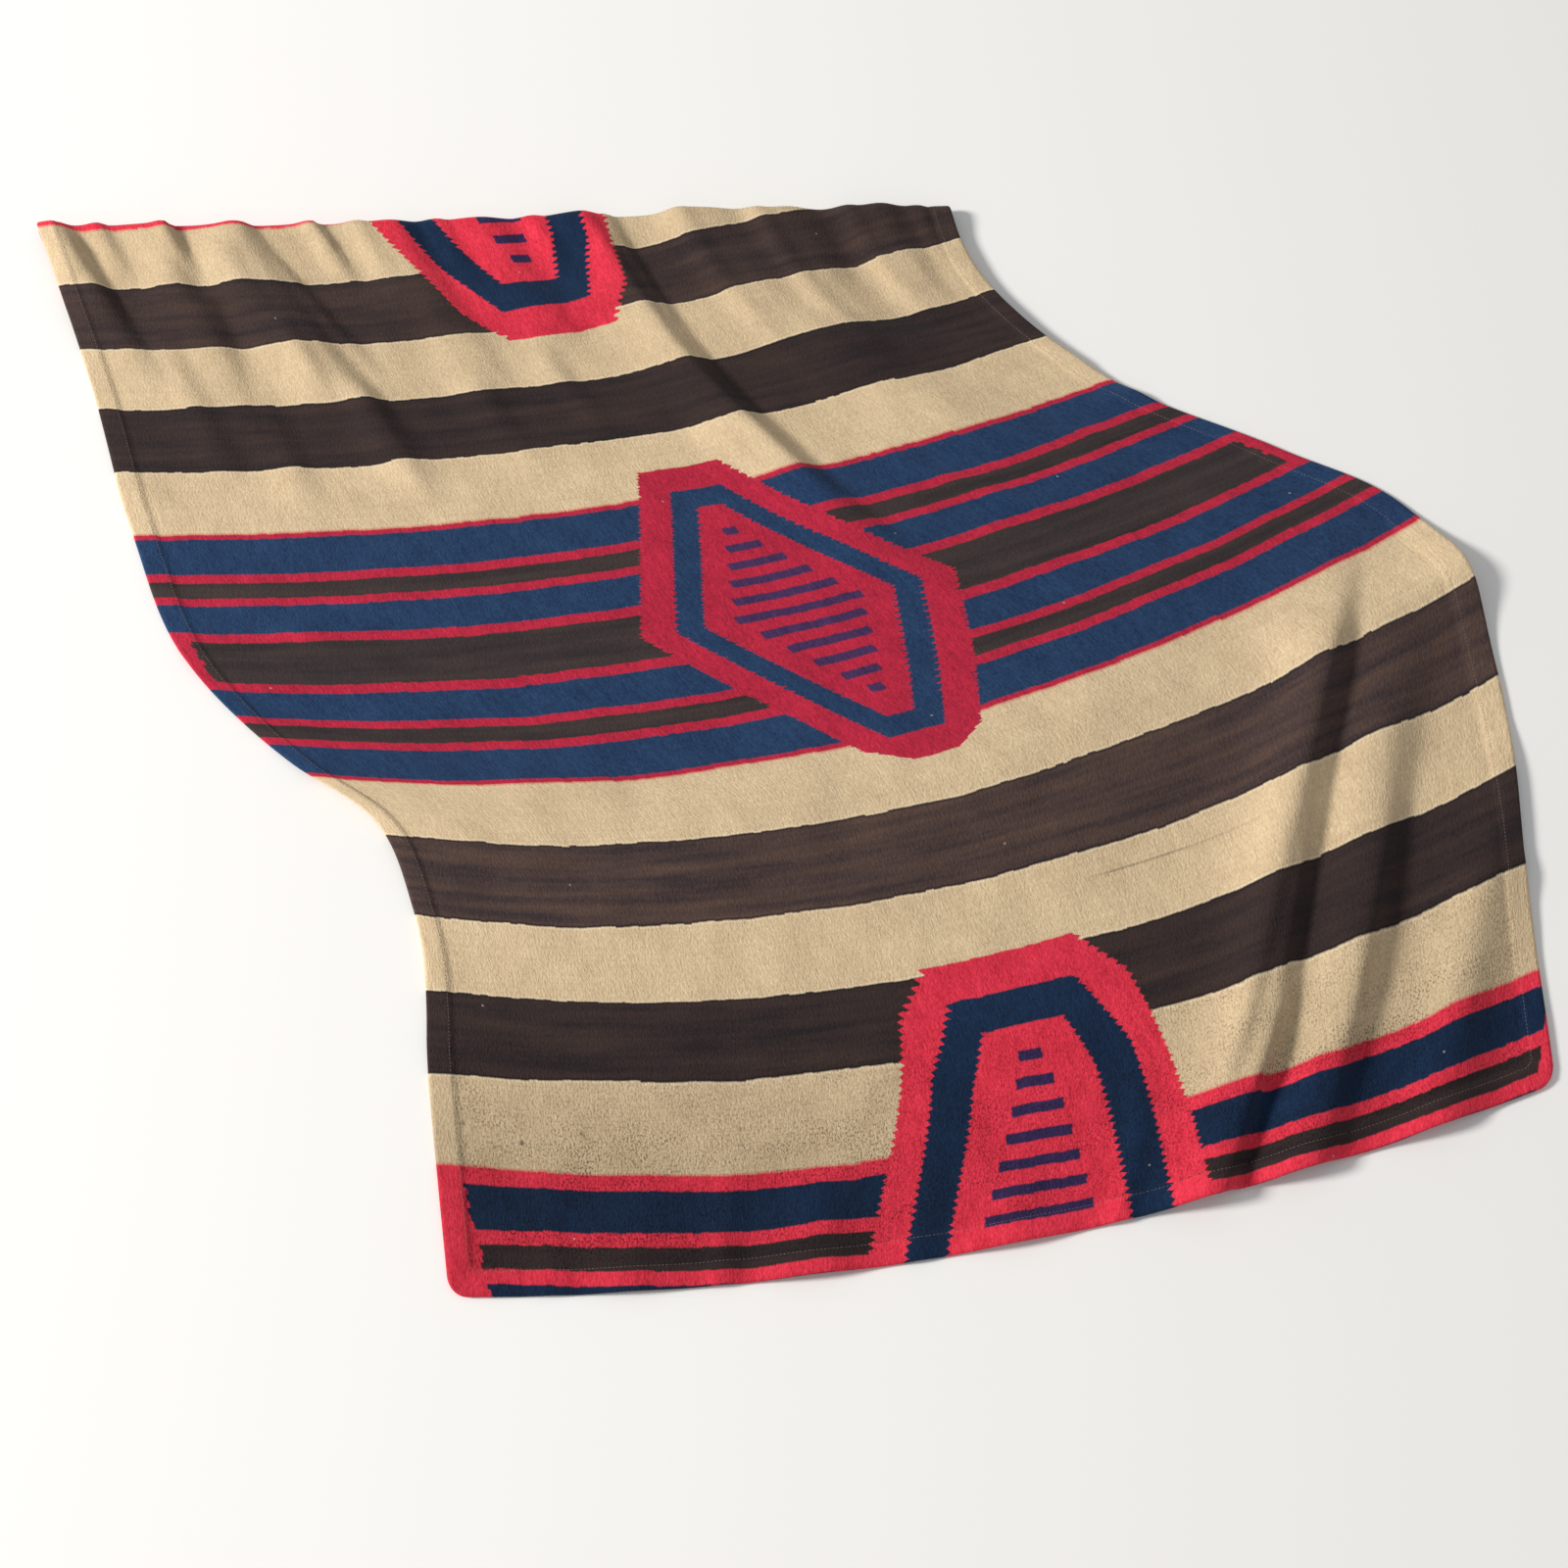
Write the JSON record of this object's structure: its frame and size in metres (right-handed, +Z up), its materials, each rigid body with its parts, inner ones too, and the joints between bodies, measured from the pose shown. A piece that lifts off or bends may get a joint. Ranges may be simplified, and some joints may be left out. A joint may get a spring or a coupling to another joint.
{
  "type": "chief blanket",
  "caption": "Flannel throw with a striped chief blanket print and stepped medallions, laid out in soft folds with its far end turned under.",
  "frame": {"origin": "the middle of the cut cloth, on its underside, where it lies flat on the surface", "axes": "+Z up from the surface, +Y from the front hem towards the fold at the far end, +X to the right seen from the front hem"},
  "size_m": [1.442, 1.5803, 0.0278],
  "materials": {
    "flannel": "brushed flannel with a short soft nap, printed in ivory, brown black, crimson, indigo and olive"
  },
  "bodies": {
    "root": {"blanket": "flannel"}
  },
  "joints": []
}
